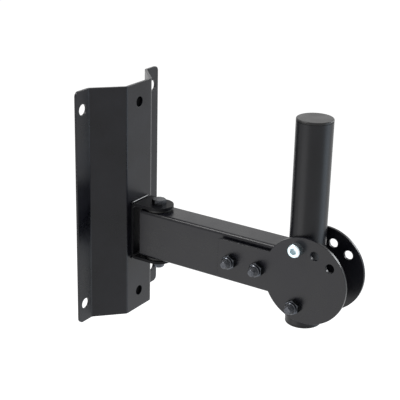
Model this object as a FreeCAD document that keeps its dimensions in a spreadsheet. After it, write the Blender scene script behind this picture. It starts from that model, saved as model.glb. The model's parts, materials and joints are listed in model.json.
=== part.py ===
import FreeCAD, Part
import Sketcher
import os

from FreeCAD import Placement, Rotation, Vector

# Speaker wall bracket. The origin is the centre of the four wall holes, in the plane of the
# wall, x = 0. The arm runs along +X and the plane y = 0 halves the bracket. Millimetres and
# degrees. All but the wall plate is drawn about the arm's axis and then lowered to it.

os.makedirs("parts", exist_ok=True)
doc = FreeCAD.newDocument("SpeakerWallBracket")

sizes = {
    # wall plate, a hat section folded from sheet
    "plate_height": 246,
    "arm_drop": 30.25,
    "plate_width": 136,
    "plate_depth": 28,
    "plate_gauge": 2.5,
    "plate_bend": 3,
    "flange_width": 20,
    "flange_corner": 5,
    "band_width": 42,
    "wall_hole": 11.5,
    "wall_hole_side": 10,
    "wall_hole_end": 19.5,
    "band_hole": 10.5,
    # swivel yoke
    "yoke_gauge": 3,
    "yoke_bend": 2.5,
    "ear_width": 30,
    "swivel_reach": 25,
    "thrust_washer": 2.5,
    "thrust_washer_rim": 27,
    # arm
    "arm_width": 30,
    "arm_height": 50,
    "arm_wall": 2.5,
    "arm_corner": 3.5,
    "arm_behind_swivel": 13.5,
    "arm_end_gap": 3.5,
    "crush_sleeve_rim": 14,
    # cheeks that carry the pole
    "cheek_gauge": 3,
    "disc_radius": 43,
    "tail_height": 40.5,
    "tail_start": 84.5,
    "tail_corner": 1.5,
    "tail_bolt_edge": 14.5,
    "tail_bolt_pitch": 30.5,
    "pivot_reach": 170.5,
    "index_radius": 58.5,
    "index_step": 18,
    "index_holes": 3,
    "index_hole": 9,
    "spacer_rim": 17.5,
    # pole
    "pole_rim": 35,
    "pole_wall": 2,
    "pole_above_pivot": 177.5,
    "pole_below_pivot": 21.5,
    "pole_side_gap": 0.3,
    "pivot_sleeve_rim": 12,
    "cap_lip": 2.5,
    "cap_plug": 9,
    "cap_wall": 2,
    "cap_round": 1.2,
    # fasteners, size M8
    "bolt": 8,
    "bolt_head": 5.3,
    "bolt_tip": 1,
    "hex_across": 13,
    "hex_face": 12.6,
    "hex_trim_reach": 1,
    "nut_hex": 5.5,
    "nut_height": 8,
    "nut_collar": 11.6,
    "nut_collar_bevel": 0.6,
    "nut_insert": 1.9,
    "nut_insert_rim": 10.2,
    "swivel_bolt_length": 70,
    "cheek_bolt_length": 55,
    "screw_head": 8,
    "screw_head_rim": 13,
    "screw_socket": 6,
    "screw_socket_depth": 4,
    "screw_bevel": 0.8,
    # clearances
    "bolt_play": 0.5,
    "running_play": 0.1,
    "seat_play": 0.1,
    "thread_play": 0.1,
    "side_play": 0.1,
}

sheet = doc.addObject("Spreadsheet::Sheet", "Sizes")
for row, (name, value) in enumerate(sizes.items(), start=1):
    sheet.set(f"A{row}", name)
    sheet.set(f"B{row}", str(value))
    sheet.setAlias(f"B{row}", name)
doc.recompute()

# places and fits that follow from the driving sizes
plate_end = "(Sizes.plate_height / 2)"
swivel_x = "(Sizes.plate_depth + Sizes.swivel_reach)"
ear_inner = "(Sizes.arm_height / 2 + Sizes.thrust_washer)"
ear_outer = "(Sizes.arm_height / 2 + Sizes.thrust_washer + Sizes.yoke_gauge)"
pivot_x = f"({swivel_x} + Sizes.pivot_reach)"
pivot_z = "(-Sizes.index_radius / 2 * cos(Sizes.index_step))"
disc_x = f"({pivot_x} + Sizes.index_radius / 2 * sin(Sizes.index_step))"
arm_back = f"({swivel_x} - Sizes.arm_behind_swivel)"
arm_end = f"({pivot_x} - Sizes.pole_rim / 2 - Sizes.arm_end_gap)"
cheek_inner = "(Sizes.pole_rim / 2 + Sizes.pole_side_gap)"
cheek_outer = "(Sizes.pole_rim / 2 + Sizes.pole_side_gap + Sizes.cheek_gauge)"
tail_end = f"({swivel_x} + Sizes.tail_start)"
tail_bolt_x = f"({tail_end} + Sizes.tail_bolt_edge)"
front_bolt_x = f"({tail_bolt_x} + Sizes.tail_bolt_pitch)"
bolt_hole = "(Sizes.bolt + Sizes.bolt_play)"
running_bore = "(Sizes.bolt + Sizes.running_play)"
nut_bore = "(Sizes.bolt + Sizes.thread_play)"
pole_bore = "(Sizes.pole_rim - 2 * Sizes.pole_wall)"

pieces = []


def new_body(label):
    body = doc.addObject("PartDesign::Body", label)
    body.Label = label
    pieces.append(body)
    return body


def size(formula):
    return float(doc.Objects[0].evalExpression(formula))


def place(body, across="0", along="0", up="0", rotation=None):
    # seats a finished body in the bracket's frame; heights count from the arm's axis
    if rotation:
        body.Placement = Placement(Vector(0, 0, 0), rotation)
    for side, formula in (("x", across), ("y", along), ("z", f"{up} - Sizes.arm_drop")):
        body.setExpression(f"Placement.Base.{side}", formula)


def new_sketch(body, plane, name, lift=None, origin=None):
    # a sketch on one of the body's own origin planes, lifted along that plane's normal
    sketch = body.newObject("Sketcher::SketchObject", name)
    support = [item for item in body.Origin.OriginFeatures if item.Role == plane][0]
    sketch.AttachmentSupport = [(support, "")]
    sketch.MapMode = "FlatFace"
    if lift:
        sketch.setExpression("AttachmentOffset.Base.z", lift)
    if origin:
        sketch.setExpression("AttachmentOffset.Base.x", origin[0])
        sketch.setExpression("AttachmentOffset.Base.y", origin[1])
    return sketch


def hold_point(sketch, curve, end, right, up):
    # ties one point of a curve to the sketch's origin by two formulas
    for kind, axis, formula in (("DistanceX", -2, right), ("DistanceY", -1, up)):
        if formula == "0":
            sketch.addConstraint(Sketcher.Constraint("PointOnObject", curve, end, axis))
        else:
            index = sketch.addConstraint(
                Sketcher.Constraint(kind, -1, 1, curve, end, size(formula)))
            sketch.setExpression(f"Constraints[{index}]", formula)


def draw_circle(sketch, right, up, diameter):
    centre = Vector(size(right), size(up), 0)
    circle = Part.Circle(centre, Vector(0, 0, 1), size(diameter) / 2)
    curve = sketch.addGeometry(circle, False)
    hold_point(sketch, curve, 3, right, up)
    index = sketch.addConstraint(Sketcher.Constraint("Diameter", curve, size(diameter)))
    sketch.setExpression(f"Constraints[{index}]", diameter)


def draw_outline(sketch, corners):
    # a closed outline of straight lines whose corners are held by formulas
    points = [Vector(size(right), size(up), 0) for right, up in corners]
    first = sketch.GeometryCount
    count = len(points)
    for number in range(count):
        line = Part.LineSegment(points[number], points[(number + 1) % count])
        sketch.addGeometry(line, False)
    for number in range(count):
        following = first + (number + 1) % count
        sketch.addConstraint(
            Sketcher.Constraint("Coincident", first + number, 2, following, 1))
    for number, (right, up) in enumerate(corners):
        hold_point(sketch, first + number, 1, right, up)


def draw_rectangle(sketch, left, right, low, high):
    draw_outline(sketch, [(left, low), (right, low), (right, high), (left, high)])


def draw_hexagon(sketch, across):
    half = f"({across} / 2)"
    side = f"({across} / 2 * tan(30))"
    point = f"({across} / 2 / cos(30))"
    corners = [("0", f"-{point}"), (half, f"-{side}"), (half, side)]
    corners += [("0", point), (f"-{half}", side), (f"-{half}", f"-{side}")]
    draw_outline(sketch, corners)


def add_pad(body, sketch, length, symmetric=False, backward=False):
    pad = body.newObject("PartDesign::Pad", sketch.Name + "_pad")
    pad.Profile = sketch
    pad.setExpression("Length", length)
    pad.Reversed = backward
    if symmetric:
        pad.SideType = "Symmetric"
    doc.recompute()


def cut_pocket(body, sketch, depth=None, backward=False):
    # with no depth the pocket goes through all of the body, both ways
    volume = body.Shape.Volume
    pocket = body.newObject("PartDesign::Pocket", sketch.Name + "_cut")
    pocket.Profile = sketch
    pocket.Reversed = backward
    if depth:
        pocket.setExpression("Length", depth)
    else:
        pocket.SideType = "Symmetric"
        pocket.Type = "ThroughAll"
    doc.recompute()
    if body.Shape.Volume > volume - 0.01:
        raise RuntimeError(f"{pocket.Name} cuts nothing")
    return pocket


def revolve(body, sketch, kind="Revolution"):
    feature = body.newObject(f"PartDesign::{kind}", sketch.Name + "_turn")
    feature.Profile = sketch
    feature.ReferenceAxis = (sketch, ["V_Axis"])
    feature.Angle = 360
    doc.recompute()


def edges_through(body, points):
    # names of the edges that pass nearest to the given points
    names = []
    for point in points:
        vertex = Part.Vertex(Vector(*[size(formula) for formula in point]))
        gaps = [edge.distToShape(vertex)[0] for edge in body.Shape.Edges]
        names.append(f"Edge{gaps.index(min(gaps)) + 1}")
    return sorted(set(names))


def round_edges(body, points, radius):
    base = (body.Tip, edges_through(body, points))
    fillet = body.newObject("PartDesign::Fillet", body.Name + "_round")
    fillet.Base = base
    fillet.setExpression("Radius", radius)
    doc.recompute()


def bevel_edges(body, points, width):
    base = (body.Tip, edges_through(body, points))
    bevel = body.newObject("PartDesign::Chamfer", body.Name + "_bevel")
    bevel.Base = base
    bevel.setExpression("Size", width)
    doc.recompute()


def make_wall_plate():
    # the fold's front line runs flange, sloping web, band, web, flange; the back line is
    # set back by the gauge, so every corner of it moves along the plate by a small step
    body = new_body("wall_plate")
    half = "(Sizes.plate_width / 2)"
    foot = "(Sizes.plate_width / 2 - Sizes.flange_width)"
    crown = "(Sizes.band_width / 2)"
    rise = "(Sizes.plate_depth - Sizes.plate_gauge)"
    slope = f"atan({rise} / ({foot} - {crown}))"
    step = f"(Sizes.plate_gauge * tan({slope} / 2))"
    front = [("Sizes.plate_gauge", half), ("Sizes.plate_gauge", foot)]
    front += [("Sizes.plate_depth", crown)]
    back = [(rise, f"({crown} - {step})"), ("0", f"({foot} - {step})"), ("0", half)]
    mirrored = [(x, f"-{y}") for x, y in front]
    mirrored_back = [(x, f"-{y}") for x, y in back]
    outline = front + mirrored[::-1] + mirrored_back[::-1] + back
    sketch = new_sketch(body, "XY_Plane", "hat_section")
    draw_outline(sketch, outline)
    add_pad(body, sketch, "Sizes.plate_height", symmetric=True)

    bends_in = []
    bends_out = []
    for sign in ("", "-"):
        bends_in.append(("Sizes.plate_gauge", f"{sign}{foot}", "0"))
        bends_in.append((rise, f"{sign}({crown} - {step})", "0"))
        bends_out.append(("Sizes.plate_depth", f"{sign}{crown}", "0"))
        bends_out.append(("0", f"{sign}({foot} - {step})", "0"))
    round_edges(body, bends_in, "Sizes.plate_bend")
    round_edges(body, bends_out, "Sizes.plate_bend + Sizes.plate_gauge")

    corners = []
    for side in (half, f"-{half}"):
        for end in (plate_end, f"-{plate_end}"):
            corners.append(("Sizes.plate_gauge / 2", side, end))
    round_edges(body, corners, "Sizes.flange_corner")

    holes = new_sketch(body, "YZ_Plane", "wall_holes")
    row = f"({plate_end} - Sizes.wall_hole_end)"
    column = "(Sizes.plate_width / 2 - Sizes.wall_hole_side)"
    for end in (row, f"-{row}"):
        draw_circle(holes, column, end, "Sizes.wall_hole")
        draw_circle(holes, f"-{column}", end, "Sizes.wall_hole")
        draw_circle(holes, "0", end, "Sizes.band_hole")
    cut_pocket(body, holes)


def make_swivel_yoke():
    # a folded strip: its web lies on the band and its two ears carry the swivel bolt
    body = new_body("swivel_yoke")
    ear = new_sketch(body, "XY_Plane", "ear_plan")
    half = "(Sizes.ear_width / 2)"
    draw_rectangle(ear, "Sizes.plate_depth", swivel_x, f"-{half}", half)
    add_pad(body, ear, f"2 * {ear_outer}", symmetric=True)
    nose = new_sketch(body, "XY_Plane", "ear_nose")
    draw_circle(nose, swivel_x, "0", "Sizes.ear_width")
    add_pad(body, nose, f"2 * {ear_outer}", symmetric=True)

    gap = new_sketch(body, "XZ_Plane", "ear_gap")
    web_front = "(Sizes.plate_depth + Sizes.yoke_gauge)"
    beyond = f"({swivel_x} + Sizes.ear_width)"
    draw_rectangle(gap, web_front, beyond, f"-{ear_inner}", ear_inner)
    cut_pocket(body, gap)
    round_edges(body, [(web_front, "0", ear_inner), (web_front, "0", f"-{ear_inner}")],
                "Sizes.yoke_bend")
    round_edges(body, [("Sizes.plate_depth", "0", ear_outer),
                       ("Sizes.plate_depth", "0", f"-{ear_outer}")],
                "Sizes.yoke_bend + Sizes.yoke_gauge")
    bore = new_sketch(body, "XY_Plane", "ear_holes")
    draw_circle(bore, swivel_x, "0", bolt_hole)
    cut_pocket(body, bore)
    return body


def make_arm_tube():
    body = new_body("arm_tube")
    section = new_sketch(body, "YZ_Plane", "arm_section", lift=arm_back)
    width = "(Sizes.arm_width / 2)"
    height = "(Sizes.arm_height / 2)"
    inner_width = "(Sizes.arm_width / 2 - Sizes.arm_wall)"
    inner_height = "(Sizes.arm_height / 2 - Sizes.arm_wall)"
    draw_rectangle(section, f"-{width}", width, f"-{height}", height)
    draw_rectangle(section, f"-{inner_width}", inner_width, f"-{inner_height}", inner_height)
    add_pad(body, section, f"{arm_end} - {arm_back}")

    outer = []
    inner = []
    for across in ("", "-"):
        for up in ("", "-"):
            outer.append((swivel_x, f"{across}{width}", f"{up}{height}"))
            inner.append((swivel_x, f"{across}{inner_width}", f"{up}{inner_height}"))
    round_edges(body, outer, "Sizes.arm_corner")
    round_edges(body, inner, "Sizes.arm_corner - Sizes.arm_wall")

    bore = new_sketch(body, "XY_Plane", "swivel_holes")
    draw_circle(bore, swivel_x, "0", bolt_hole)
    cut_pocket(body, bore)
    cross = new_sketch(body, "XZ_Plane", "cheek_bolt_holes")
    draw_circle(cross, tail_bolt_x, "0", bolt_hole)
    draw_circle(cross, front_bolt_x, "0", bolt_hole)
    cut_pocket(body, cross)
    return body


def make_cheek(label, lift):
    # a flat plate: a round head on a straight tail, with an arc of index holes about the pivot
    body = new_body(label)
    disc = new_sketch(body, "XZ_Plane", label + "_disc", lift=lift)
    draw_circle(disc, disc_x, "0", "2 * Sizes.disc_radius")
    add_pad(body, disc, "Sizes.cheek_gauge")
    tail = new_sketch(body, "XZ_Plane", label + "_tail", lift=lift)
    half = "(Sizes.tail_height / 2)"
    draw_rectangle(tail, tail_end, disc_x, f"-{half}", half)
    add_pad(body, tail, "Sizes.cheek_gauge")
    middle = f"-({lift} + Sizes.cheek_gauge / 2)"
    round_edges(body, [(tail_end, middle, half), (tail_end, middle, f"-{half}")],
                "Sizes.tail_corner")

    bolts = new_sketch(body, "XZ_Plane", label + "_bolts")
    draw_circle(bolts, tail_bolt_x, "0", bolt_hole)
    draw_circle(bolts, front_bolt_x, "0", bolt_hole)
    draw_circle(bolts, pivot_x, pivot_z, bolt_hole)
    cut_pocket(body, bolts)
    index = new_sketch(body, "XZ_Plane", label + "_index", origin=(pivot_x, pivot_z))
    draw_circle(index, "0", "Sizes.index_radius", "Sizes.index_hole")
    hole = cut_pocket(body, index)
    arc = body.newObject("PartDesign::PolarPattern", label + "_arc")
    arc.Originals = [hole]
    arc.Axis = (index, ["N_Axis"])
    arc.Reversed = True
    arc.Mode = "Spacing"
    arc.setExpression("Offset", "Sizes.index_step")
    arc.setExpression("Occurrences", "Sizes.index_holes")
    body.Tip = arc
    doc.recompute()
    return body


def make_ring(label, rim, bore, thickness, symmetric=False):
    body = new_body(label)
    section = new_sketch(body, "XY_Plane", label + "_plan")
    draw_circle(section, "0", "0", rim)
    draw_circle(section, "0", "0", bore)
    add_pad(body, section, thickness, symmetric=symmetric)
    return body


def trim_hexagon(body, name, face):
    # takes the corners off a hexagon at its upper face, as a turned chamfer of thirty degrees
    sketch = new_sketch(body, "XZ_Plane", name)
    rim = "(Sizes.hex_face / 2)"
    reach = "(Sizes.hex_across / 2 / cos(30) + Sizes.hex_trim_reach)"
    drop = f"(({reach} - {rim}) * tan(30))"
    draw_outline(sketch, [(rim, face), (reach, face), (reach, f"({face} - {drop})")])
    revolve(body, sketch, "Groove")


def make_hex_bolt(label, length):
    # the bearing face of the head lies at z = 0 and the shank runs down
    body = new_body(label)
    head = new_sketch(body, "XY_Plane", label + "_head")
    draw_hexagon(head, "Sizes.hex_across")
    add_pad(body, head, "Sizes.bolt_head")
    trim_hexagon(body, label + "_trim", "Sizes.bolt_head")
    shank = new_sketch(body, "XY_Plane", label + "_shank")
    draw_circle(shank, "0", "0", "Sizes.bolt")
    add_pad(body, shank, length, backward=True)
    bevel_edges(body, [("0", "Sizes.bolt / 2", f"-{length}")], "Sizes.bolt_tip")
    return body


def make_lock_nut(label):
    # a nut with a plain collar that holds a nylon ring; its bearing face lies at z = 0
    body = new_body(label)
    base = new_sketch(body, "XY_Plane", label + "_hexagon")
    draw_hexagon(base, "Sizes.hex_across")
    add_pad(body, base, "Sizes.nut_hex")
    trim_hexagon(body, label + "_trim", "Sizes.nut_hex")
    collar = new_sketch(body, "XY_Plane", label + "_collar")
    draw_circle(collar, "0", "0", "Sizes.nut_collar")
    add_pad(body, collar, "Sizes.nut_height")
    bevel_edges(body, [("0", "Sizes.nut_collar / 2", "Sizes.nut_height")],
                "Sizes.nut_collar_bevel")
    bore = new_sketch(body, "XY_Plane", label + "_bore")
    draw_circle(bore, "0", "0", nut_bore)
    cut_pocket(body, bore)
    recess = new_sketch(body, "XY_Plane", label + "_recess", lift="Sizes.nut_height")
    draw_circle(recess, "0", "0", "Sizes.nut_insert_rim + Sizes.seat_play")
    cut_pocket(body, recess, "Sizes.nut_insert")
    return body


def make_nut_insert(label):
    return make_ring(label, "Sizes.nut_insert_rim", nut_bore, "Sizes.nut_insert")


def make_cap_screw(label, shank_length):
    # a round head with a hexagon socket; its bearing face lies at z = 0
    body = new_body(label)
    head = new_sketch(body, "XY_Plane", label + "_head")
    draw_circle(head, "0", "0", "Sizes.screw_head_rim")
    add_pad(body, head, "Sizes.screw_head")
    bevel_edges(body, [("0", "Sizes.screw_head_rim / 2", "Sizes.screw_head")],
                "Sizes.screw_bevel")
    socket = new_sketch(body, "XY_Plane", label + "_socket", lift="Sizes.screw_head")
    draw_hexagon(socket, "Sizes.screw_socket")
    cut_pocket(body, socket, "Sizes.screw_socket_depth")
    shank = new_sketch(body, "XY_Plane", label + "_shank")
    draw_circle(shank, "0", "0", "Sizes.bolt")
    add_pad(body, shank, shank_length, backward=True)
    return body


def make_pole_tube():
    # local origin on the pivot axis
    body = new_body("pole_tube")
    section = new_sketch(body, "XY_Plane", "pole_section", lift="-Sizes.pole_below_pivot")
    draw_circle(section, "0", "0", "Sizes.pole_rim")
    draw_circle(section, "0", "0", pole_bore)
    add_pad(body, section, "Sizes.pole_below_pivot + Sizes.pole_above_pivot")
    cross = new_sketch(body, "XZ_Plane", "pole_cross_holes")
    draw_circle(cross, "0", "0", "Sizes.pivot_sleeve_rim + Sizes.seat_play")
    draw_circle(cross, "0", "Sizes.index_radius", "Sizes.index_hole")
    cut_pocket(body, cross)
    return body


def make_pole_cap(label):
    # a moulded end cap: a lip as wide as the pole over a hollow plug; z = 0 is the lip's seat
    body = new_body(label)
    half = new_sketch(body, "XZ_Plane", label + "_profile")
    plug = f"({pole_bore} / 2 - Sizes.seat_play)"
    draw_outline(half, [
        ("0", "0"),
        (f"({plug} - Sizes.cap_wall)", "0"),
        (f"({plug} - Sizes.cap_wall)", "-Sizes.cap_plug"),
        (plug, "-Sizes.cap_plug"),
        (plug, "0"),
        ("Sizes.pole_rim / 2", "0"),
        ("Sizes.pole_rim / 2", "Sizes.cap_lip"),
        ("0", "Sizes.cap_lip"),
    ])
    revolve(body, half)
    round_edges(body, [("0", "Sizes.pole_rim / 2", "Sizes.cap_lip")], "Sizes.cap_round")
    return body


upside_down = Rotation(Vector(1, 0, 0), 180)
toward_near = Rotation(Vector(1, 0, 0), 90)
toward_far = Rotation(Vector(1, 0, 0), -90)

make_wall_plate()
swivel_yoke = make_swivel_yoke()
place(swivel_yoke)
arm_tube = make_arm_tube()
place(arm_tube)

# swivel: bolt from above, lock nut below, a thrust washer on each side of the arm
swivel_bolt = make_hex_bolt("swivel_bolt", "Sizes.swivel_bolt_length")
place(swivel_bolt, swivel_x, "0", ear_outer)
swivel_nut = make_lock_nut("swivel_nut")
place(swivel_nut, swivel_x, "0", f"-{ear_outer}", upside_down)
swivel_insert = make_nut_insert("swivel_nut_insert")
place(swivel_insert, swivel_x, "0", f"-({ear_outer} + Sizes.nut_height - Sizes.nut_insert)",
      upside_down)
upper_washer = make_ring("upper_thrust_washer", "Sizes.thrust_washer_rim", bolt_hole,
                         "Sizes.thrust_washer")
place(upper_washer, swivel_x, "0", "Sizes.arm_height / 2")
lower_washer = make_ring("lower_thrust_washer", "Sizes.thrust_washer_rim", bolt_hole,
                         "Sizes.thrust_washer")
place(lower_washer, swivel_x, "0", f"-{ear_inner}")
crush_sleeve = make_ring("swivel_sleeve", "Sizes.crush_sleeve_rim", running_bore,
                         "Sizes.arm_height - 2 * Sizes.arm_wall", symmetric=True)
place(crush_sleeve, swivel_x)

# cheeks stand off the arm on ring spacers, each pair on a bolt through the arm
near_cheek = make_cheek("near_cheek", cheek_inner)
place(near_cheek)
far_cheek = make_cheek("far_cheek", f"(-{cheek_outer})")
place(far_cheek)
spacer_thickness = f"({cheek_inner} - Sizes.arm_width / 2)"
for name, bolt_x in (("rear", tail_bolt_x), ("front", front_bolt_x)):
    near_spacer = make_ring(f"near_{name}_spacer", "Sizes.spacer_rim", bolt_hole,
                            spacer_thickness)
    place(near_spacer, bolt_x, "-Sizes.arm_width / 2", "0", toward_near)
    far_spacer = make_ring(f"far_{name}_spacer", "Sizes.spacer_rim", bolt_hole,
                           spacer_thickness)
    place(far_spacer, bolt_x, "Sizes.arm_width / 2", "0", toward_far)
cheek_bolts = [("rear_cheek", tail_bolt_x, "0"), ("front_cheek", front_bolt_x, "0"),
               ("pivot", pivot_x, pivot_z)]
for name, bolt_x, bolt_z in cheek_bolts:
    cheek_bolt = make_hex_bolt(f"{name}_bolt", "Sizes.cheek_bolt_length")
    place(cheek_bolt, bolt_x, cheek_outer, bolt_z, toward_far)
    cheek_nut = make_lock_nut(f"{name}_nut")
    place(cheek_nut, bolt_x, f"-{cheek_outer}", bolt_z, toward_near)
    cheek_insert = make_nut_insert(f"{name}_nut_insert")
    place(cheek_insert, bolt_x, f"-({cheek_outer} + Sizes.nut_height - Sizes.nut_insert)",
          bolt_z, toward_near)

# pole with its pivot sleeve and end caps
pole_tube = make_pole_tube()
place(pole_tube, pivot_x, "0", pivot_z)
pivot_sleeve = make_ring("pivot_sleeve", "Sizes.pivot_sleeve_rim", running_bore,
                         f"2 * ({cheek_inner} - Sizes.side_play)", symmetric=True)
place(pivot_sleeve, pivot_x, "0", pivot_z, toward_near)
top_cap = make_pole_cap("pole_top_cap")
place(top_cap, pivot_x, "0", f"{pivot_z} + Sizes.pole_above_pivot")
bottom_cap = make_pole_cap("pole_bottom_cap")
place(bottom_cap, pivot_x, "0", f"{pivot_z} - Sizes.pole_below_pivot", upside_down)

# tilt lock: a cap screw in the first index hole, straight above the pivot
lock_screw = make_cap_screw("tilt_lock_screw", "Sizes.cheek_gauge + Sizes.side_play")
place(lock_screw, pivot_x, f"-{cheek_outer}", f"{pivot_z} + Sizes.index_radius", toward_near)

doc.recompute()
for item in doc.Objects:
    if "Invalid" in item.State or "Error" in item.State:
        raise RuntimeError(f"{item.Name} failed: {item.State}")
for body in pieces:
    if body.Shape.isNull() or not body.Shape.isValid():
        raise RuntimeError(f"{body.Label} has no valid shape")
    if len(body.Shape.Solids) != 1:
        raise RuntimeError(f"{body.Label} is {len(body.Shape.Solids)} solids")
for body in pieces:
    body.Shape.exportStep(f"parts/{body.Label}.step")
print(len(pieces), "pieces written")
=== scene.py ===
import bpy
import bmesh
import json
import math
from mathutils import Matrix, Vector

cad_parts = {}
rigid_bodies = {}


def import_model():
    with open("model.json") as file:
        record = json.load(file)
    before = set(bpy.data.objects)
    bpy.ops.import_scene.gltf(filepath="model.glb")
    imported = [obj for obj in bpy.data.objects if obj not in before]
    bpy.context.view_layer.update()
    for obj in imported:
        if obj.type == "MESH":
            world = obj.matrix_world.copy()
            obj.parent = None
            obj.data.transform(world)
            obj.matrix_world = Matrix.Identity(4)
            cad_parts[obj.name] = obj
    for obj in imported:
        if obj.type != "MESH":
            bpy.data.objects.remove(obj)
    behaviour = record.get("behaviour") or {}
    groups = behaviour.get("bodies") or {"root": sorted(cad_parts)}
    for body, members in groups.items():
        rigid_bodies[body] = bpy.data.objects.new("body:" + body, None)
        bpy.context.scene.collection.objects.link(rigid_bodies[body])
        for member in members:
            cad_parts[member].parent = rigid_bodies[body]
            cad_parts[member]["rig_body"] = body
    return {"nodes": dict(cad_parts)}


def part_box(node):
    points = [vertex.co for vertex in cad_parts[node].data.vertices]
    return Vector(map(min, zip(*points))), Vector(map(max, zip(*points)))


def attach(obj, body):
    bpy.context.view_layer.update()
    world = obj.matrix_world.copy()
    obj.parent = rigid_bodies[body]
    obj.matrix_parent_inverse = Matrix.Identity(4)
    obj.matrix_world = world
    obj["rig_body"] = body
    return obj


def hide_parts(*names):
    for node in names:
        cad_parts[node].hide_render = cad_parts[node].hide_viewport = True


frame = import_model()

# Speaker wall bracket: folded black plate, swivelling box arm, tilting speaker pole.
# Metres. X runs out from the wall along the arm, Z up, and the near side is -Y.

for spare in [item for item in bpy.data.objects if "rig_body" not in item]:
    if not spare.name.startswith("body:"):
        bpy.data.objects.remove(spare)
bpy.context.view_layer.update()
mm = 0.001
print("bracket: frame loaded")


# Surface texture groups

def newGroup(name, inputs, outputs):
    group = bpy.data.node_groups.new(name, "ShaderNodeTree")
    for label, kind, value in inputs:
        socket = group.interface.new_socket(name=label, in_out="INPUT", socket_type=kind)
        socket.default_value = value
    for label, kind in outputs:
        group.interface.new_socket(name=label, in_out="OUTPUT", socket_type=kind)
    return group


def addNode(tree, kind, **settings):
    node = tree.nodes.new(kind)
    for name, value in settings.items():
        setattr(node, name, value)
    return node


def addNoise(tree, vector, scale, detail, roughness=0.5):
    noise = addNode(tree, "ShaderNodeTexNoise")
    noise.inputs["Detail"].default_value = detail
    noise.inputs["Roughness"].default_value = roughness
    tree.links.new(vector, noise.inputs["Vector"])
    if isinstance(scale, (int, float)):
        noise.inputs["Scale"].default_value = scale
    else:
        tree.links.new(scale, noise.inputs["Scale"])
    return noise.outputs["Fac"]


def addMath(tree, operation, first, second):
    node = addNode(tree, "ShaderNodeMath", operation=operation)
    for socket, value in zip(node.inputs, (first, second)):
        if isinstance(value, (int, float)):
            socket.default_value = value
        else:
            tree.links.new(value, socket)
    return node.outputs[0]


def addSpread(tree, value, fromLow, fromHigh, toLow, toHigh):
    # maps a noise value onto a range whose ends may be sockets
    node = addNode(tree, "ShaderNodeMapRange")
    tree.links.new(value, node.inputs["Value"])
    node.inputs["From Min"].default_value = fromLow
    node.inputs["From Max"].default_value = fromHigh
    for name, end in (("To Min", toLow), ("To Max", toHigh)):
        if isinstance(end, (int, float)):
            node.inputs[name].default_value = end
        else:
            tree.links.new(end, node.inputs[name])
    return node.outputs[0]


# A Mix node has one set of sockets per data type, so its colour sockets go by number
colourSockets = {"factor": 0, "first": 6, "second": 7, "result": 2}


def addBlend(tree, factor, first, second):
    node = addNode(tree, "ShaderNodeMix", data_type="RGBA")
    tree.links.new(factor, node.inputs[colourSockets["factor"]])
    for name, value in (("first", first), ("second", second)):
        socket = node.inputs[colourSockets[name]]
        if hasattr(value, "links"):
            tree.links.new(value, socket)
        else:
            socket.default_value = value
    return node.outputs[colourSockets["result"]]


def addObjectPlace(tree):
    return addNode(tree, "ShaderNodeTexCoord").outputs["Object"]


def addSeen(tree):
    # 1 where the camera sees a surface straight, in a mirror or through glass
    rays = addNode(tree, "ShaderNodeLightPath").outputs
    return addMath(tree, "MAXIMUM", rays["Is Camera Ray"],
                   addMath(tree, "MAXIMUM", rays["Is Glossy Ray"], rays["Is Transmission Ray"]))


# The parts of a noise's 0 to 1 that tones, gloss and dull spots are spread over
noiseSpans = {"tone": (0.35, 0.65), "gloss": (0.3, 0.7), "dull": (0.55, 0.75), "cloudShare": 0.7}


def makeCoatGroup():
    # baked coat or moulded skin: fine grain over a soft orange peel, with slow cloudy patches
    group = newGroup("coatSkin", [
        ("Grain Scale", "NodeSocketFloat", 1400.0),
        ("Peel Scale", "NodeSocketFloat", 420.0),
        ("Cloud Scale", "NodeSocketFloat", 34.0),
        ("Peel Share", "NodeSocketFloat", 0.5),
        ("Gloss Low", "NodeSocketFloat", 0.32),
        ("Gloss High", "NodeSocketFloat", 0.42),
        ("Deep", "NodeSocketColor", (0.004, 0.004, 0.004, 1)),
        ("Pale", "NodeSocketColor", (0.008, 0.008, 0.008, 1)),
    ], [("Colour", "NodeSocketColor"), ("Roughness", "NodeSocketFloat"),
        ("Height", "NodeSocketFloat")])
    start = addNode(group, "NodeGroupInput").outputs
    end = addNode(group, "NodeGroupOutput").inputs
    place = addObjectPlace(group)
    grain = addNoise(group, place, start["Grain Scale"], 2, 0.6)
    peel = addNoise(group, place, start["Peel Scale"], 1, 0.4)
    cloud = addNoise(group, place, start["Cloud Scale"], 3, 0.55)
    both = addMath(group, "ADD", grain, addMath(group, "MULTIPLY", peel, start["Peel Share"]))
    cloudShare = noiseSpans["cloudShare"]
    mixed = addMath(group, "ADD", addMath(group, "MULTIPLY", cloud, cloudShare),
                    addMath(group, "MULTIPLY", grain, 1 - cloudShare))
    tone = addSpread(group, mixed, *noiseSpans["tone"], 0.0, 1.0)
    group.links.new(addBlend(group, tone, start["Deep"], start["Pale"]), end["Colour"])
    gloss = addSpread(group, cloud, *noiseSpans["gloss"], start["Gloss Low"], start["Gloss High"])
    group.links.new(gloss, end["Roughness"])
    group.links.new(both, end["Height"])
    return group


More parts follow.
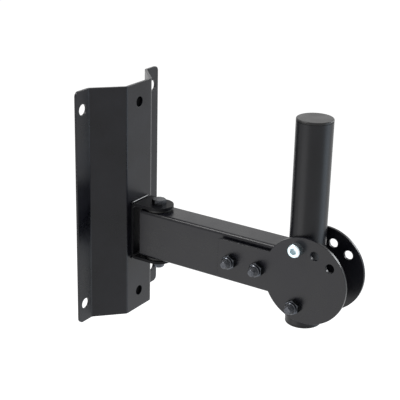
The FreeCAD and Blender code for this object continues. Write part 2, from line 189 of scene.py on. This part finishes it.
def makePlatingGroup():
    # thin zinc plating: drifting film tints, fine tumbling marks and small dull spots
    group = newGroup("platedSkin", [
        ("Film Scale", "NodeSocketFloat", 260.0),
        ("Mark Scale", "NodeSocketFloat", 1600.0),
        ("Gloss Low", "NodeSocketFloat", 0.22),
        ("Gloss High", "NodeSocketFloat", 0.4),
        ("Bright", "NodeSocketColor", (0.8, 0.82, 0.84, 1)),
        ("Film", "NodeSocketColor", (0.6, 0.7, 0.74, 1)),
        ("Dull", "NodeSocketColor", (0.5, 0.5, 0.5, 1)),
    ], [("Colour", "NodeSocketColor"), ("Roughness", "NodeSocketFloat"),
        ("Height", "NodeSocketFloat")])
    start = addNode(group, "NodeGroupInput").outputs
    end = addNode(group, "NodeGroupOutput").inputs
    place = addObjectPlace(group)
    film = addNoise(group, place, start["Film Scale"], 2, 0.5)
    marks = addNoise(group, place, start["Mark Scale"], 3, 0.65)
    filmTone = addSpread(group, film, *noiseSpans["tone"], 0.0, 1.0)
    dullTone = addSpread(group, marks, *noiseSpans["dull"], 0.0, 1.0)
    tinted = addBlend(group, filmTone, start["Bright"], start["Film"])
    group.links.new(addBlend(group, dullTone, tinted, start["Dull"]), end["Colour"])
    gloss = addSpread(group, marks, *noiseSpans["gloss"], start["Gloss Low"], start["Gloss High"])
    group.links.new(gloss, end["Roughness"])
    group.links.new(marks, end["Height"])
    return group


coatSkin = makeCoatGroup()
platedSkin = makePlatingGroup()


def makeFinish(name, group, values, depth, shader):
    # one finish: a texture group with its own values, a bump and a Principled shader
    finish = bpy.data.materials.new(name)
    finish.use_nodes = True
    tree = finish.node_tree
    surface = tree.nodes["Principled BSDF"]
    skin = addNode(tree, "ShaderNodeGroup", node_tree=group)
    for label, value in values.items():
        skin.inputs[label].default_value = value
    for label, value in shader.items():
        surface.inputs[label].default_value = value
    tree.links.new(skin.outputs["Colour"], surface.inputs["Base Color"])
    tree.links.new(skin.outputs["Roughness"], surface.inputs["Roughness"])
    bump = addNode(tree, "ShaderNodeBump")
    bump.inputs["Strength"].default_value = depth["strength"]
    bump.inputs["Distance"].default_value = depth["distance"]
    tree.links.new(skin.outputs["Height"], bump.inputs["Height"])
    tree.links.new(bump.outputs["Normal"], surface.inputs["Normal"])
    return finish


powderCoat = makeFinish("blackPowderCoat", coatSkin, {
    "Grain Scale": 1500, "Peel Scale": 520, "Cloud Scale": 30, "Peel Share": 0.8,
    "Gloss Low": 0.25, "Gloss High": 0.36,
    "Deep": (0.001, 0.0012, 0.0028, 1), "Pale": (0.0068, 0.0068, 0.0098, 1),
}, {"strength": 0.3, "distance": 0.00006}, {"Metallic": 0, "Specular IOR Level": 0.3})

# the plate's powder coat again, made darker and less reflective for the yoke: painted shade that
# keeps its ears and bends dark
yokeShadedCoat = makeFinish("blackYokeShadedCoat", coatSkin, {
    "Grain Scale": 1500, "Peel Scale": 520, "Cloud Scale": 30, "Peel Share": 0.8,
    "Gloss Low": 0.38, "Gloss High": 0.5,
    "Deep": (0.001, 0.0012, 0.002, 1), "Pale": (0.0045, 0.0045, 0.006, 1),
}, {"strength": 0.3, "distance": 0.00006}, {"Metallic": 0, "Specular IOR Level": 0.12})

polePaint = makeFinish("blackPolePaint", coatSkin, {
    "Grain Scale": 1900, "Peel Scale": 640, "Cloud Scale": 26, "Peel Share": 0.6,
    "Gloss Low": 0.31, "Gloss High": 0.39,
    "Deep": (0.0015, 0.0017, 0.0028, 1), "Pale": (0.005, 0.0053, 0.0072, 1),
}, {"strength": 0.12, "distance": 0.00005}, {"Metallic": 0, "Specular IOR Level": 0.3})

beadCoat = makeFinish("blackBeadCoat", coatSkin, {
    "Grain Scale": 1200, "Peel Scale": 420, "Cloud Scale": 90, "Peel Share": 0.5,
    "Gloss Low": 0.14, "Gloss High": 0.22,
    "Deep": (0.001, 0.0012, 0.0028, 1), "Pale": (0.0068, 0.0068, 0.0098, 1),
}, {"strength": 0.12, "distance": 0.00005}, {"Metallic": 0, "Specular IOR Level": 0.5})

capPlastic = makeFinish("blackCapPlastic", coatSkin, {
    "Grain Scale": 2400, "Peel Scale": 900, "Cloud Scale": 60, "Peel Share": 0.3,
    "Gloss Low": 0.3, "Gloss High": 0.4,
    "Deep": (0.006, 0.006, 0.006, 1), "Pale": (0.011, 0.0105, 0.011, 1),
}, {"strength": 0.3, "distance": 0.00005}, {"Metallic": 0, "Specular IOR Level": 0.3})

washerNylon = makeFinish("blackWasherNylon", coatSkin, {
    "Grain Scale": 2000, "Peel Scale": 700, "Cloud Scale": 80, "Peel Share": 0.3,
    "Gloss Low": 0.45, "Gloss High": 0.58,
    "Deep": (0.006, 0.006, 0.006, 1), "Pale": (0.011, 0.011, 0.011, 1),
}, {"strength": 0.2, "distance": 0.00004}, {"Metallic": 0, "Specular IOR Level": 0.4})

insertNylon = makeFinish("nutInsertNylon", coatSkin, {
    "Grain Scale": 2600, "Peel Scale": 1200, "Cloud Scale": 300, "Peel Share": 0.3,
    "Gloss Low": 0.35, "Gloss High": 0.5,
    "Deep": (0.02, 0.022, 0.026, 1), "Pale": (0.035, 0.038, 0.045, 1),
}, {"strength": 0.2, "distance": 0.00003}, {"Metallic": 0, "Specular IOR Level": 0.5})

blackZinc = makeFinish("blackZincPlating", platedSkin, {
    "Film Scale": 340, "Mark Scale": 1700, "Gloss Low": 0.16, "Gloss High": 0.3,
    "Bright": (0.085, 0.089, 0.098, 1), "Film": (0.05, 0.056, 0.066, 1),
    "Dull": (0.16, 0.16, 0.165, 1),
}, {"strength": 0.25, "distance": 0.00005}, {"Metallic": 1, "Specular IOR Level": 0.5})

blackBolts = makeFinish("blackZincBolts", platedSkin, {
    "Film Scale": 420, "Mark Scale": 1400, "Gloss Low": 0.22, "Gloss High": 0.4,
    "Bright": (0.07, 0.073, 0.08, 1), "Film": (0.036, 0.039, 0.045, 1),
    "Dull": (0.1, 0.1, 0.105, 1),
}, {"strength": 0.35, "distance": 0.00006}, {"Metallic": 1, "Specular IOR Level": 0.5})

brightZinc = makeFinish("brightZincPlating", platedSkin, {
    "Film Scale": 300, "Mark Scale": 1500, "Gloss Low": 0.24, "Gloss High": 0.4,
    "Bright": (0.7, 0.76, 0.79, 1), "Film": (0.5, 0.64, 0.68, 1),
    "Dull": (0.5, 0.54, 0.56, 1),
}, {"strength": 0.15, "distance": 0.00004}, {"Metallic": 1, "Specular IOR Level": 0.5})

bareSteel = makeFinish("oiledSteel", platedSkin, {
    "Film Scale": 120, "Mark Scale": 900, "Gloss Low": 0.3, "Gloss High": 0.5,
    "Bright": (0.42, 0.41, 0.4, 1), "Film": (0.33, 0.31, 0.29, 1),
    "Dull": (0.22, 0.2, 0.18, 1),
}, {"strength": 0.2, "distance": 0.00005}, {"Metallic": 1, "Specular IOR Level": 0.5})
print("bracket: finishes made")


# Pieces

meshCare = {"looseGap": 0.002 * mm, "flatAngle": 0.6, "roundedGap": 0.0005 * mm,
            "threadGap": 0.005 * mm, "faceWeight": 60}


def joinedCopy(node):
    # a CAD node's loose triangles joined up, its flat neighbours made one face
    copy = bmesh.new()
    copy.from_mesh(frame["nodes"][node].data)
    bmesh.ops.remove_doubles(copy, verts=copy.verts, dist=meshCare["looseGap"])
    bmesh.ops.dissolve_limit(copy, angle_limit=math.radians(meshCare["flatAngle"]),
                             verts=copy.verts[:], edges=copy.edges[:])
    return copy


def cutOff(shape, point, normal):
    # takes away what lies past a plane, on the side that its normal points to
    bmesh.ops.bisect_plane(shape, geom=shape.verts[:] + shape.edges[:] + shape.faces[:],
                           plane_co=point, plane_no=normal, clear_outer=True)


def closeRims(shape):
    bmesh.ops.edgeloop_fill(shape, edges=[edge for edge in shape.edges if edge.is_boundary])


def placeShape(shape, name, finish):
    # a finished shape becomes an object of the scene
    mesh = bpy.data.meshes.new(name)
    shape.to_mesh(mesh)
    shape.free()
    mesh.materials.append(finish)
    placed = bpy.data.objects.new(name, mesh)
    bpy.context.scene.collection.objects.link(placed)
    return placed


def smoothMesh(mesh, sharpAngle):
    mesh.shade_smooth()
    mesh.set_sharp_from_angle(angle=math.radians(sharpAngle))


def finishPiece(shape, name, body, finish, node, edges):
    # turns a finished shape into a piece that rides on its body in place of its CAD node
    piece = placeShape(shape, name, finish)
    mesh = piece.data
    if "custom_normal" in mesh.attributes:
        mesh.attributes.remove(mesh.attributes["custom_normal"])
    for face in mesh.polygons:
        face.material_index = 0
    smoothMesh(mesh, edges["sharpAngle"])
    bevel = piece.modifiers.new("softEdges", "BEVEL")
    bevel.width = edges["width"]
    bevel.segments = edges["segments"]
    bevel.limit_method = "ANGLE"
    bevel.angle_limit = math.radians(edges["sharpAngle"])
    bevel.use_clamp_overlap = True
    bevel.miter_outer = "MITER_ARC"
    joined = piece.modifiers.new("joinedPoints", "WELD")
    joined.merge_threshold = meshCare["roundedGap"]  # rounding can leave two points on one spot
    evened = piece.modifiers.new("evenShading", "WEIGHTED_NORMAL")
    evened.keep_sharp = True
    evened.weight = meshCare["faceWeight"]
    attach(piece, body)
    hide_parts(node)


def dressNode(node, ending, body, finish, edges):
    # a piece that keeps its CAD node's form and gets softened edges and a finish
    finishPiece(joinedCopy(node), node + ending, body, finish, node, edges)


# Wall plate: 2.5 mm sheet, cut then folded; the coat rounds its cut edges
wallPlate = {"width": 0.45 * mm, "segments": 3, "sharpAngle": 38}
dressNode("wall_plate", "_coated", "wall", powderCoat, wallPlate)

# Swivel yoke: 3 mm strip folded to two round-nosed ears
swivelYoke = {"width": 0.2 * mm, "segments": 2, "sharpAngle": 38}
# the yoke takes the darker, less reflective copy of the coat: painted shade
dressNode("swivel_yoke", "_coated", "wall", yokeShadedCoat, swivelYoke)

# Weld beads: one fills each groove where the yoke's bends leave the band
weldBead = {"radius": 1.25 * mm, "endShare": 0.6, "ripple": 0.1 * mm, "steps": 26, "sides": 16,
            "shortOfYoke": 1.0 * mm, "offBand": 1.1 * mm, "rise": 0.1 * mm, "sharpAngle": 70}
yokeLow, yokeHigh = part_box("swivel_yoke")
bandFace = yokeLow.x  # the yoke's back lies on the plate's band


def makeBead(name, height):
    # a disc drawn along the groove, a little thicker and thinner at each step as a bead sets
    length = yokeHigh.y - yokeLow.y - weldBead["shortOfYoke"]
    endSize = weldBead["radius"] * weldBead["endShare"]
    bead = bmesh.new()
    bmesh.ops.create_circle(bead, cap_ends=True, radius=endSize, segments=weldBead["sides"])
    bmesh.ops.rotate(bead, verts=bead.verts, cent=(0, 0, 0),
                     matrix=Matrix.Rotation(math.radians(90), 3, "X"))
    start = Vector((bandFace + weldBead["offBand"], -length / 2, height))
    bmesh.ops.translate(bead, verts=bead.verts, vec=start)
    stride = length / weldBead["steps"]
    cap = bead.faces[:]
    size = endSize
    for step in range(1, weldBead["steps"] + 1):
        plain = endSize if step == weldBead["steps"] else weldBead["radius"]
        wanted = plain + weldBead["ripple"] * (step % 2)
        moved = bmesh.ops.extrude_face_region(bead, geom=cap)["geom"]
        if step > 1:  # the last disc would stay behind as a wall inside the bead
            bmesh.ops.delete(bead, geom=cap, context="FACES_ONLY")
        cap = [item for item in moved if isinstance(item, bmesh.types.BMFace)]
        rim = [item for item in moved if isinstance(item, bmesh.types.BMVert)]
        bmesh.ops.translate(bead, verts=rim, vec=(0, stride, 0))
        middle = Vector((start.x, start.y + stride * step, start.z))
        bmesh.ops.scale(bead, verts=rim, vec=(wanted / size, 1, wanted / size),
                        space=Matrix.Translation(-middle))
        size = wanted
    bmesh.ops.recalc_face_normals(bead, faces=bead.faces)
    piece = placeShape(bead, name, beadCoat)
    smoothMesh(piece.data, weldBead["sharpAngle"])
    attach(piece, "wall")


makeBead("yoke_upper_weld", yokeHigh.z - weldBead["rise"])
makeBead("yoke_lower_weld", yokeLow.z + weldBead["rise"])
print("bracket: wall plate and yoke made")

# Arm: rectangular tube, sawn square at both ends
armTube = {"width": 0.35 * mm, "segments": 2, "sharpAngle": 38}
dressNode("arm_tube", "_coated", "arm", powderCoat, armTube)

# Cheeks: laser-cut plates on ring spacers
cheeks = {"width": 0.45 * mm, "segments": 3, "sharpAngle": 38}
for side in ("near", "far"):
    dressNode(side + "_cheek", "_coated", "arm", powderCoat, cheeks)
spacers = {"width": 0.3 * mm, "segments": 2, "sharpAngle": 38}
for side in ("near", "far"):
    for end in ("rear", "front"):
        dressNode(f"{side}_{end}_spacer", "_coated", "arm", powderCoat,
                  spacers)
print("bracket: arm and cheeks made")

# Thrust washers, black nylon, pressed rings with eased edges
thrustWashers = {"width": 0.35 * mm, "segments": 2, "sharpAngle": 38}
for node in ("upper_thrust_washer", "lower_thrust_washer"):
    dressNode(node, "_moulded", "wall", washerNylon, thrustWashers)

# Steel sleeves inside the arm and through the pole
sleeves = {"width": 0.3 * mm, "segments": 2, "sharpAngle": 38}
for node, body in (("swivel_sleeve", "arm"), ("pivot_sleeve", "pole")):
    dressNode(node, "_turned", body, bareSteel, sleeves)

# Hex bolts: forged heads, and a rolled M8 thread on the end that shows past the nut
boltThread = {"pitch": 1.25 * mm, "crest": 3.97 * mm, "root": 3.3 * mm, "tip": 0.9 * mm,
              "rootShares": (-0.12, 0.12), "crestShares": (0.44, 0.56), "turnsBelow": 2,
              "spareTurns": 3, "steps": 28, "cutBack": 6.5 * mm}
boltEdges = {"width": 0.3 * mm, "segments": 2, "sharpAngle": 32}


def addThread(shape, tip, direction):
    # a zigzag of thread flanks turned about the axis, one pitch on per turn, cut to length
    thread = bmesh.new()
    pitch = boltThread["pitch"]
    turns = math.ceil(boltThread["cutBack"] / pitch) + boltThread["spareTurns"]
    rail = []
    for turn in range(turns + 1):
        for level in ("root", "crest"):
            for share in boltThread[level + "Shares"]:
                height = (turn - boltThread["turnsBelow"] + share) * pitch
                rail.append(thread.verts.new((boltThread[level], 0, height)))
    for low, high in zip(rail, rail[1:]):
        thread.edges.new((low, high))
    bmesh.ops.spin(thread, geom=thread.verts[:] + thread.edges[:], cent=(0, 0, 0),
                   axis=(0, 0, 1), dvec=(0, 0, pitch / boltThread["steps"]),
                   angle=math.tau, steps=boltThread["steps"], use_merge=False)
    bmesh.ops.remove_doubles(thread, verts=thread.verts, dist=meshCare["threadGap"])
    cutOff(thread, (0, 0, 0), (0, 0, -1))
    cutOff(thread, (0, 0, boltThread["cutBack"]), (0, 0, 1))
    closeRims(thread)
    for vert in thread.verts:  # the tip is turned to a cone before the thread is rolled
        limit = boltThread["crest"] - max(0, boltThread["tip"] - vert.co.z)
        radius = math.hypot(vert.co.x, vert.co.y)
        if radius > limit:
            vert.co.x *= limit / radius
            vert.co.y *= limit / radius
    bmesh.ops.recalc_face_normals(thread, faces=thread.faces)
    turned = Vector((0, 0, -1)).rotation_difference(direction).to_matrix()
    bmesh.ops.rotate(thread, verts=thread.verts, cent=(0, 0, 0), matrix=turned)
    bmesh.ops.translate(thread, verts=thread.verts, vec=tip)
    end = bpy.data.meshes.new("threadEnd")
    thread.to_mesh(end)
    thread.free()
    shape.from_mesh(end)
    bpy.data.meshes.remove(end)


def makeBolt(node, body, direction):
    # direction is the way from the head to the threaded end
    low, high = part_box(node)
    centre = (low + high) / 2
    reach = high if sum(direction) > 0 else low
    tip = Vector([edge if way else middle for edge, way, middle in zip(reach, direction, centre)])
    shape = joinedCopy(node)
    cutOff(shape, tip - direction * boltThread["cutBack"], direction)
    closeRims(shape)
    addThread(shape, tip, direction)
    finishPiece(shape, node + "_plated", body, blackBolts, node, boltEdges)


makeBolt("swivel_bolt", "wall", Vector((0, 0, -1)))
for node in ("rear_cheek_bolt", "front_cheek_bolt", "pivot_bolt"):
    makeBolt(node, "arm", Vector((0, -1, 0)))

# Lock nuts: the collar is rolled over a nylon ring
lockNuts = {"width": 0.3 * mm, "segments": 3, "sharpAngle": 28}
insertRings = {"width": 0.2 * mm, "segments": 2, "sharpAngle": 38}
for nut, body in (("swivel", "wall"), ("rear_cheek", "arm"), ("front_cheek", "arm"),
                  ("pivot", "arm")):
    dressNode(nut + "_nut", "_plated", body, blackZinc, lockNuts)
    dressNode(nut + "_nut_insert", "_pressed", body, insertNylon, insertRings)

# Tilt lock screw: bright zinc cap screw
lockScrew = {"width": 0.35 * mm, "segments": 3, "sharpAngle": 32}
dressNode("tilt_lock_screw", "_plated", "lock_screw", brightZinc, lockScrew)
print("bracket: fasteners made")

# Pole: 35 mm tube with a moulded cap at each end
poleTube = {"width": 0.7 * mm, "segments": 3, "sharpAngle": 38}
dressNode("pole_tube", "_painted", "pole", polePaint, poleTube)
poleCaps = {"width": 0.7 * mm, "segments": 3, "sharpAngle": 38}
for node in ("pole_top_cap", "pole_bottom_cap"):
    dressNode(node, "_moulded", "pole", capPlastic, poleCaps)
print("bracket: pole made")


# Studio

studio = {
    "floorDrop": 0.75, "floorSize": 14.0, "floorColour": 0.72, "fibreStep": 0.03,
    "fibreScale": 9.0, "floorLift": 0.45, "worldStrength": 0.8, "seenStrength": 1.0,
}


def startPaper(name, fibreScale, deep, pale):
    # matt paper with a faint fibre, still without a link to the material's output
    paper = bpy.data.materials.new(name)
    paper.use_nodes = True
    tree = paper.node_tree
    tree.nodes.remove(tree.nodes["Principled BSDF"])
    matt = addNode(tree, "ShaderNodeBsdfDiffuse")
    fibre = addNoise(tree, addObjectPlace(tree), fibreScale, 3)
    tree.links.new(addBlend(tree, fibre, deep, pale), matt.inputs["Color"])
    return paper, tree, matt


def makeFloor():
    # pale floor that the camera, and what mirrors it, sees as white with the shadow kept
    shape = bmesh.new()
    bmesh.ops.create_grid(shape, x_segments=1, y_segments=1, size=studio["floorSize"] / 2)
    bmesh.ops.translate(shape, verts=shape.verts, vec=(0, 0, -studio["floorDrop"]))
    low = studio["floorColour"]
    high = low + studio["fibreStep"]
    paper, tree, matt = startPaper("palePaper", studio["fibreScale"], (low, low, low, 1),
                                   (high, high, high, 1))
    glow = addNode(tree, "ShaderNodeEmission")
    lift = addMath(tree, "MULTIPLY", addSeen(tree), studio["floorLift"])
    tree.links.new(lift, glow.inputs["Strength"])
    both = addNode(tree, "ShaderNodeAddShader")
    tree.links.new(matt.outputs[0], both.inputs[0])
    tree.links.new(glow.outputs[0], both.inputs[1])
    tree.links.new(both.outputs[0], tree.nodes["Material Output"].inputs["Surface"])
    placeShape(shape, "studioFloor", paper)


def makeWorld():
    # soft light from all round; the camera, and what mirrors it, sees it as white
    world = bpy.data.worlds.new("studioWorld")
    bpy.context.scene.world = world
    world.use_nodes = True
    tree = world.node_tree
    soft = tree.nodes["Background"]
    soft.inputs["Color"].default_value = (1, 1, 1, 1)
    soft.inputs["Strength"].default_value = studio["worldStrength"]
    white = addNode(tree, "ShaderNodeBackground")
    white.inputs["Color"].default_value = (1, 1, 1, 1)
    white.inputs["Strength"].default_value = studio["seenStrength"]
    mixed = addNode(tree, "ShaderNodeMixShader")
    tree.links.new(addSeen(tree), mixed.inputs[0])
    tree.links.new(soft.outputs[0], mixed.inputs[1])
    tree.links.new(white.outputs[0], mixed.inputs[2])
    tree.links.new(mixed.outputs[0], tree.nodes["World Output"].inputs["Surface"])


# Both band holes show dark, as if the plate lay against something that shuts the hollow behind
# its band. A near-black card behind each hole is painted shade for that shut, unlit hollow, and
# isn't part of the bracket: from behind it is clear, and the holes are open.
holeShadeCards = {"behindBand": 2.8 * mm, "fromEnd": 19.5 * mm, "radius": 7.4 * mm, "sides": 48,
             "deep": (0.0035, 0.0035, 0.0035, 1), "pale": (0.007, 0.007, 0.0077, 1),
             "fibreScale": 900.0}


# a near-black disc behind one band hole: painted shade for the unlit hollow behind the band
def makeHoleShadeCard(name, height):
    shape = bmesh.new()
    bmesh.ops.create_circle(shape, cap_ends=True, radius=holeShadeCards["radius"],
                            segments=holeShadeCards["sides"])
    bmesh.ops.rotate(shape, verts=shape.verts, cent=(0, 0, 0),
                     matrix=Matrix.Rotation(math.radians(90), 3, "Y"))
    away = bandFace - holeShadeCards["behindBand"]
    bmesh.ops.translate(shape, verts=shape.verts, vec=(away, 0, height))
    paper, tree, matt = startPaper(name + "Paper", holeShadeCards["fibreScale"], holeShadeCards["deep"],
                                   holeShadeCards["pale"])
    clear = addNode(tree, "ShaderNodeBsdfTransparent")
    mixed = addNode(tree, "ShaderNodeMixShader")
    side = addNode(tree, "ShaderNodeNewGeometry").outputs["Backfacing"]
    tree.links.new(side, mixed.inputs[0])
    tree.links.new(matt.outputs[0], mixed.inputs[1])
    tree.links.new(clear.outputs[0], mixed.inputs[2])
    tree.links.new(mixed.outputs[0], tree.nodes["Material Output"].inputs["Surface"])
    placeShape(shape, name, paper)


# Each panel: way to it from the arm's end, distance, width, height, brightness, tint
softPanels = {
    "overheadPanel": ((-0.50, -0.35, 0.79), 1.3, 0.42, 0.42, 14.5, (1, 0.99, 0.98)),
    "backPanel": ((-0.50, 0.79, 0.36), 1.4, 0.8, 0.4, 0.25, (1, 0.99, 0.98)),
    "leftPanel": ((-0.38, -0.82, -0.34), 1.15, 0.75, 0.62, 1.2, (1, 0.99, 1)),
    "rightPanel": ((0.89, 0.38, 0.02), 1.1, 0.72, 1.3, 1.65, (0.66, 0.83, 1)),
    "ridgePanel": ((0.43, 0.79, 0.44), 1.3, 0.26, 0.62, 15.0, (0.95, 0.98, 1)),
}
panelTarget = Vector((0.2, 0, -0.03))


def makePanels():
    for name, (way, distance, width, height, bright, tint) in softPanels.items():
        lamp = bpy.data.lights.new(name, "AREA")
        lamp.shape = "RECTANGLE"
        lamp.size = width
        lamp.size_y = height
        lamp.color = tint
        lamp.energy = bright * math.pi * width * height
        panel = bpy.data.objects.new(name, lamp)
        bpy.context.scene.collection.objects.link(panel)
        panel.location = panelTarget + Vector(way).normalized() * distance
        panel.rotation_mode = "QUATERNION"
        panel.rotation_quaternion = Vector(way).to_track_quat("Z", "Y")
        panel.visible_camera = False


# The photograph's viewpoint
viewpoint = {
    "place": (0.657551, -0.867757, 0.404168),
    "forward": (-0.504297, 0.788025, -0.353131),
    "roll": 1.3887, "lens": 100.058, "sensor": 36.0,
}


def makeCamera():
    data = bpy.data.cameras.new("viewCamera")
    data.sensor_fit = "HORIZONTAL"
    data.sensor_width = viewpoint["sensor"]
    data.lens = viewpoint["lens"]
    camera = bpy.data.objects.new("viewCamera", data)
    bpy.context.scene.collection.objects.link(camera)
    forward = Vector(viewpoint["forward"]).normalized()
    level = forward.cross(Vector((0, 0, 1))).normalized()
    upright = level.cross(forward)
    roll = math.radians(viewpoint["roll"])
    right = level * math.cos(roll) + upright * math.sin(roll)
    up = upright * math.cos(roll) - level * math.sin(roll)
    turned = Matrix((right, up, -forward)).transposed()
    camera.matrix_world = Matrix.Translation(viewpoint["place"]) @ turned.to_4x4()
    bpy.context.scene.camera = camera


makeFloor()
plateLow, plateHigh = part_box("wall_plate")
makeHoleShadeCard("upperHoleCard", plateHigh.z - holeShadeCards["fromEnd"])
makeHoleShadeCard("lowerHoleCard", plateLow.z + holeShadeCards["fromEnd"])
makeWorld()
makePanels()
makeCamera()
bpy.context.scene.view_settings.view_transform = "Standard"
print("bracket: studio set")
